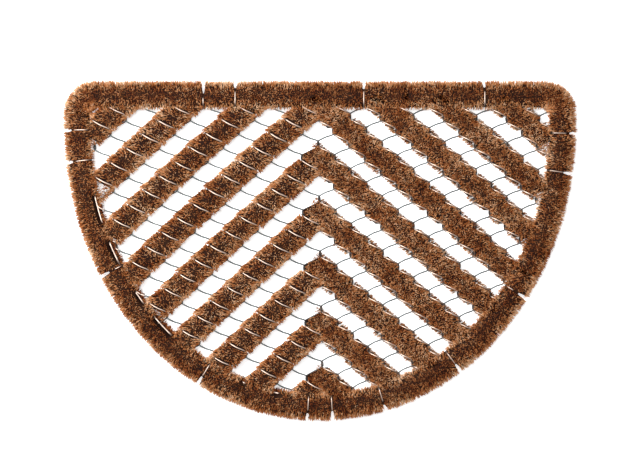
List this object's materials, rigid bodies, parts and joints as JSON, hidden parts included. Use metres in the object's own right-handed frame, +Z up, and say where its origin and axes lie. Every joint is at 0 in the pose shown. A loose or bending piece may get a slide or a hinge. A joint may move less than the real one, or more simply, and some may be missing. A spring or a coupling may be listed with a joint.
{
  "type": "half-round wire and coir scraper mat",
  "caption": "Half-round doormat that scrapes shoes: chevron bars of coir brush held in a chain-link wire mesh, with a coir brush border.",
  "frame": {"origin": "middle of the mat's bounding box, on its underside", "axes": "+X along the straight edge, +Y towards the straight edge, +Z up out of the pile"},
  "size_m": [0.762, 0.504, 0.032],
  "materials": {
    "coir_fibre": "natural brown coir fibre, cut ends, matte",
    "galvanised_wire": "galvanised steel wire, dull satin"
  },
  "bodies": {
    "root": {"border_brush": "coir_fibre", "left_bar_1": "coir_fibre", "right_bar_1": "coir_fibre", "left_bar_2": "coir_fibre", "right_bar_2": "coir_fibre", "left_bar_3": "coir_fibre", "right_bar_3": "coir_fibre", "left_bar_4": "coir_fibre", "right_bar_4": "coir_fibre", "left_bar_5": "coir_fibre", "right_bar_5": "coir_fibre", "left_bar_6": "coir_fibre", "right_bar_6": "coir_fibre", "left_bar_7": "coir_fibre", "right_bar_7": "coir_fibre", "left_bar_8": "coir_fibre", "right_bar_8": "coir_fibre", "left_bar_9": "coir_fibre", "right_bar_9": "coir_fibre", "wire_mesh": "galvanised_wire"}
  },
  "joints": []
}
